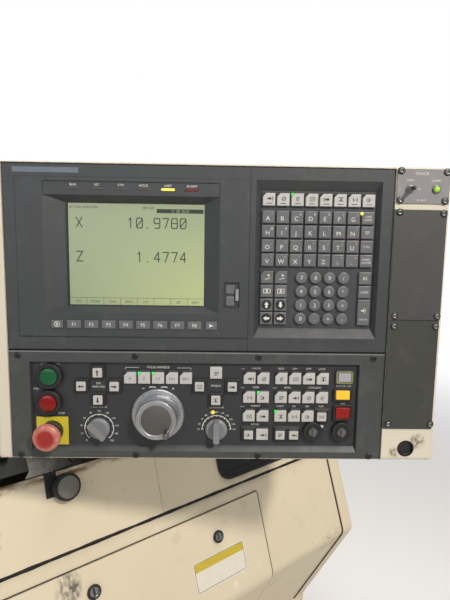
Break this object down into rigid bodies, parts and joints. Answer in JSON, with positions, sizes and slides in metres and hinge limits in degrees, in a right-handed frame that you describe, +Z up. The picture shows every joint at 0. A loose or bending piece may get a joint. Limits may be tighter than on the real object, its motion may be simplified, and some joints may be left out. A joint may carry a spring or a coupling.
{
  "type": "cnc turning lathe",
  "caption": "Slant-bed turning lathe with sliding guard door, tool turret, tailstock and a swivelling operator panel with screen, keys, knobs and handwheel.",
  "frame": {"origin": "on the flat underside of the base casting, under the middle of the machine's length", "axes": "+X along the spindle, from the headstock to the tailstock; -Y towards the operator; +Z up"},
  "size_m": [2.3, 1.9095, 1.615],
  "materials": {
    "cast_iron_grey": "painted grey casting",
    "ground_steel": "ground and polished",
    "dark_steel": "blackened and oiled",
    "cream_paint": "semi-gloss cream machine paint, scuffed",
    "panel_cream": "smooth cream paint",
    "smoked_glass": "smoked safety pane in a black rubber rim",
    "black_rubber": "matt",
    "fascia_grey": "fine grained moulding",
    "lower_fascia_grey": "fine grained moulding",
    "key_plastic": "satin",
    "display_glass": "backlit green-grey display",
    "catch_metal": "satin",
    "green_lens": "moulded lens",
    "red_lens": "moulded lens",
    "stop_red": "faded and scuffed",
    "stop_yellow": "printed plate",
    "knob_grey": "satin",
    "wheel_metal": "anodised",
    "black_plastic": "satin black",
    "light_key": "satin",
    "yellow_lens": "lit lens",
    "plate_light": "satin grey",
    "plate_dark": "satin dark grey",
    "switch_red": "moulded grip"
  },
  "bodies": {
    "machine": {"base_casting": "cast_iron_grey", "bed": "ground_steel", "headstock": "cream_paint", "ball_screw": "ground_steel", "chip_tray": "dark_steel", "front_apron": "cream_paint", "access_cover": "cream_paint", "left_end_cap": "cream_paint", "right_end_cap": "cream_paint", "front_sill": "cream_paint", "right_guard": "cream_paint", "guard_window": "smoked_glass", "left_guard": "cream_paint", "door_rail": "ground_steel", "door_bumper": "black_rubber", "roof": "cream_paint", "rear_cover": "cream_paint", "electrical_cabinet": "cream_paint", "pendant_arm": "panel_cream"},
    "spindle": {"spindle": "ground_steel", "chuck_body": "ground_steel"},
    "jaw_1": {"jaw_1": "dark_steel"},
    "jaw_2": {"jaw_2": "dark_steel"},
    "jaw_3": {"jaw_3": "dark_steel"},
    "carriage": {"carriage": "cast_iron_grey"},
    "cross_slide": {"cross_slide": "cast_iron_grey"},
    "turret": {"turret_disc": "ground_steel"},
    "tailstock": {"tailstock": "cream_paint"},
    "quill": {"quill": "ground_steel"},
    "live_centre": {"live_centre": "ground_steel"},
    "door": {"door": "cream_paint", "door_window": "smoked_glass"},
    "cabinet_door": {"cabinet_door": "cream_paint"},
    "main_switch": {"main_switch": "switch_red"},
    "quarter_turn_1": {"quarter_turn_1": "dark_steel"},
    "quarter_turn_2": {"quarter_turn_2": "dark_steel"},
    "panel": {"pendant_housing": "panel_cream", "panel_rear_cover": "panel_cream", "upper_fascia": "fascia_grey", "lcd_screen": "display_glass", "side_latch": "catch_metal", "keyboard_plate": "key_plastic", "lower_fascia": "lower_fascia_grey", "estop_plate": "stop_yellow", "handwheel_base": "wheel_metal", "column_plate_1": "plate_light", "column_plate_2": "plate_dark", "column_plate_3": "plate_dark"},
    "start_button": {"start_button": "green_lens"},
    "feed_hold_button": {"feed_hold_button": "red_lens"},
    "estop_head": {"estop_head": "stop_red"},
    "feed_knob": {"feed_knob": "knob_grey"},
    "override_knob": {"override_knob": "knob_grey"},
    "handwheel": {"handwheel": "wheel_metal"},
    "crank_knob": {"crank_knob": "black_plastic"},
    "key_switch_1": {"key_switch_1": "black_plastic"},
    "key_switch_2": {"key_switch_2": "black_plastic"},
    "reset_key": {"reset_key": "light_key"},
    "yellow_button": {"yellow_button": "yellow_lens"},
    "red_button": {"red_button": "red_lens"}
  },
  "joints": [
    {"name": "door_slide", "type": "slide", "parent": "machine", "child": "door", "axis": [1, 0, 0], "range_m": [0, 0.7395]},
    {"name": "spindle_spin", "type": "hinge", "parent": "machine", "child": "spindle", "pos_m": [0, -0.06, 1.1], "axis": [1, 0, 0], "continuous": true},
    {"name": "jaw_1_slide", "type": "slide", "parent": "spindle", "child": "jaw_1", "axis": [0, 1, 0], "range_m": [-0.008, 0.006]},
    {"name": "jaw_2_slide", "type": "slide", "parent": "spindle", "child": "jaw_2", "axis": [0, -0.5, 0.866], "range_m": [-0.008, 0.006]},
    {"name": "jaw_3_slide", "type": "slide", "parent": "spindle", "child": "jaw_3", "axis": [0, -0.5, -0.866], "range_m": [-0.008, 0.006]},
    {"name": "carriage_slide", "type": "slide", "parent": "machine", "child": "carriage", "axis": [1, 0, 0], "range_m": [-0.2, 0.1]},
    {"name": "cross_feed", "type": "slide", "parent": "carriage", "child": "cross_slide", "axis": [0, 0.7071, 0.7071], "range_m": [-0.19, 0.02]},
    {"name": "turret_index", "type": "hinge", "parent": "cross_slide", "child": "turret", "pos_m": [0, 0.17688, 1.33688], "axis": [1, 0, 0], "continuous": true},
    {"name": "tailstock_slide", "type": "slide", "parent": "machine", "child": "tailstock", "axis": [1, 0, 0], "range_m": [-0.12, 0.13]},
    {"name": "quill_slide", "type": "slide", "parent": "tailstock", "child": "quill", "axis": [1, 0, 0], "range_m": [-0.08, 0]},
    {"name": "centre_spin", "type": "hinge", "parent": "quill", "child": "live_centre", "pos_m": [0, -0.06, 1.1], "axis": [1, 0, 0], "continuous": true},
    {"name": "cabinet_door_swing", "type": "hinge", "parent": "machine", "child": "cabinet_door", "pos_m": [-0.62, 0.7191, 0.93], "axis": [0, 0, 1], "range_deg": [0, 110]},
    {"name": "main_switch_turn", "type": "hinge", "parent": "cabinet_door", "child": "main_switch", "pos_m": [0.53, 0.7191, 1.31], "axis": [0, 1, 0], "range_deg": [0, 90]},
    {"name": "quarter_turn_1_turn", "type": "hinge", "parent": "machine", "child": "quarter_turn_1", "pos_m": [0.31096, -0.6308, 0.772], "axis": [0, -0.9439, 0.3304], "range_deg": [0, 90]},
    {"name": "quarter_turn_2_turn", "type": "hinge", "parent": "machine", "child": "quarter_turn_2", "pos_m": [0.63894, -0.6336, 0.764], "axis": [0, -0.9439, 0.3304], "range_deg": [0, 90]},
    {"name": "panel_swivel", "type": "hinge", "parent": "machine", "child": "panel", "pos_m": [0.57, -0.8354, 1.388], "axis": [0, 0, 1], "range_deg": [-15, 50]},
    {"name": "start_button_push", "type": "slide", "parent": "panel", "child": "start_button", "axis": [0.6157, 0.788, 0], "range_m": [0, 0.003], "stiffness_N_per_m": 400, "springref_m": -0.001},
    {"name": "feed_hold_button_push", "type": "slide", "parent": "panel", "child": "feed_hold_button", "axis": [0.6157, 0.788, 0], "range_m": [0, 0.003], "stiffness_N_per_m": 400, "springref_m": -0.001},
    {"name": "reset_key_push", "type": "slide", "parent": "panel", "child": "reset_key", "axis": [0.6157, 0.788, 0], "range_m": [0, 0.003], "stiffness_N_per_m": 400, "springref_m": -0.001},
    {"name": "yellow_button_push", "type": "slide", "parent": "panel", "child": "yellow_button", "axis": [0.6157, 0.788, 0], "range_m": [0, 0.003], "stiffness_N_per_m": 400, "springref_m": -0.001},
    {"name": "red_button_push", "type": "slide", "parent": "panel", "child": "red_button", "axis": [0.6157, 0.788, 0], "range_m": [0, 0.003], "stiffness_N_per_m": 400, "springref_m": -0.001},
    {"name": "estop_push", "type": "slide", "parent": "panel", "child": "estop_head", "axis": [0.6157, 0.788, 0], "range_m": [0, 0.005]},
    {"name": "feed_knob_turn", "type": "hinge", "parent": "panel", "child": "feed_knob", "pos_m": [0.23923, -0.83078, 1.209], "axis": [0.6157, 0.788, 0], "range_deg": [-90, 180]},
    {"name": "override_knob_turn", "type": "hinge", "parent": "panel", "child": "override_knob", "pos_m": [0.38383, -0.94375, 1.2085], "axis": [0.6157, 0.788, 0], "range_deg": [-90, 90]},
    {"name": "handwheel_spin", "type": "hinge", "parent": "panel", "child": "handwheel", "pos_m": [0.31212, -0.88772, 1.2335], "axis": [0.6157, 0.788, 0], "continuous": true},
    {"name": "crank_knob_spin", "type": "hinge", "parent": "handwheel", "child": "crank_knob", "pos_m": [0.32478, -0.89762, 1.21501], "axis": [0.6157, 0.788, 0], "continuous": true},
    {"name": "key_switch_1_turn", "type": "hinge", "parent": "panel", "child": "key_switch_1", "pos_m": [0.50321, -1.03702, 1.208], "axis": [0.6157, 0.788, 0], "range_deg": [0, 90]},
    {"name": "key_switch_2_turn", "type": "hinge", "parent": "panel", "child": "key_switch_2", "pos_m": [0.53867, -1.06473, 1.208], "axis": [0.6157, 0.788, 0], "range_deg": [0, 90]}
  ],
  "couplings": [
    {"joint": "jaw_2_slide", "follows": "jaw_1_slide", "ratio": 1},
    {"joint": "jaw_3_slide", "follows": "jaw_1_slide", "ratio": 1}
  ]
}
